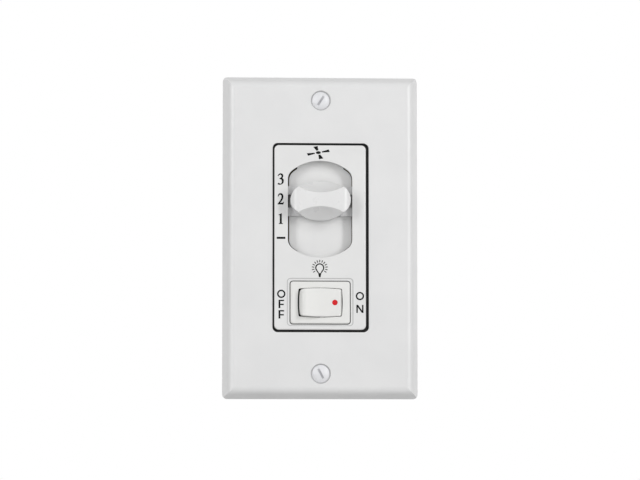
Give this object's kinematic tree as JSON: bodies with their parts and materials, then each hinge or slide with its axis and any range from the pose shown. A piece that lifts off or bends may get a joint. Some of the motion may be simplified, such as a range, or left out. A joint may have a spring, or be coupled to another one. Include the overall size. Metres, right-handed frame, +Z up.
{
  "type": "fan speed control switch",
  "caption": "White wall control for a ceiling fan: a stepped slide knob in an arched slot picks off or a fan speed, and a small rocker below it switches the light.",
  "frame": {"origin": "centre of the wall plate, in the plane of the wall that the plate's rim rests on", "axes": "+Z up along the plate's length, +X to the right as seen from the room, +Y into the wall"},
  "size_m": [0.0694, 0.0463, 0.1146],
  "materials": {
    "plate_plastic": "satin white moulded cover",
    "white_screw": "white enamelled steel",
    "zinc_steel": "zinc plated steel",
    "fibre": "red-brown fibre leaf",
    "green_screw": "green dyed zinc plated steel",
    "insert_plastic": "satin white moulded plastic",
    "knob_plastic": "satin white moulded plastic",
    "dark_plastic": "black moulded thermoset",
    "spring_steel": "bright spring steel",
    "contact_brass": "bright brass",
    "board": "brown phenolic board",
    "capacitor_case": "yellow moulded case",
    "resistor_body": "tan lacquered resistor",
    "switch_plastic": "warm white moulded plastic",
    "contact_silver": "bright silver contact"
  },
  "bodies": {
    "base": {"wall_plate": "plate_plastic", "plate_screws": "white_screw", "mounting_strap": "zinc_steel", "box_screws": "zinc_steel", "screw_retainers": "fibre", "ground_screw": "green_screw", "front_insert": "insert_plastic", "slide_track": "insert_plastic", "speed_board": "board", "speed_contacts": "contact_brass", "common_bus": "contact_brass", "board_screws": "zinc_steel", "large_capacitor": "capacitor_case", "small_capacitor": "capacitor_case", "bleed_resistors": "resistor_body", "rear_housing": "dark_plastic", "housing_screws": "zinc_steel", "switch_frame": "switch_plastic", "common_terminal": "contact_brass", "load_terminal": "contact_brass"},
    "slider": {"slider_knob": "knob_plastic", "contact_carrier": "dark_plastic", "detent_spring": "spring_steel", "wiper_contact": "contact_brass"},
    "rocker": {"rocker_button": "switch_plastic", "rocker_spring": "spring_steel"},
    "plunger": {"rocker_plunger": "dark_plastic"},
    "lever": {"contact_lever": "contact_brass", "lever_contact_tip": "contact_silver"}
  },
  "joints": [
    {"name": "fan_slide", "type": "slide", "parent": "base", "child": "slider", "axis": [0, 0, 1], "range_m": [-0.012, 0.006], "deforming": ["detent_spring"]},
    {"name": "rocker_tilt", "type": "hinge", "parent": "base", "child": "rocker", "pos_m": [-0.00028, -0.005, -0.0234], "axis": [0, 0, 1], "range_deg": [-22, 0]},
    {"name": "plunger_press", "type": "slide", "parent": "rocker", "child": "plunger", "axis": [-0.1908, 0.9816, 0], "range_m": [-0.0004, 0], "stiffness_N_per_m": 300, "springref_m": 0.0004, "deforming": ["rocker_spring"]},
    {"name": "lever_tilt", "type": "hinge", "parent": "base", "child": "lever", "pos_m": [-0.00028, 0.00221, -0.0234], "axis": [0, 0, 1], "range_deg": [0, 16]}
  ],
  "couplings": [
    {"joint": "lever_tilt", "follows": "rocker_tilt", "ratio": -0.72727}
  ]
}
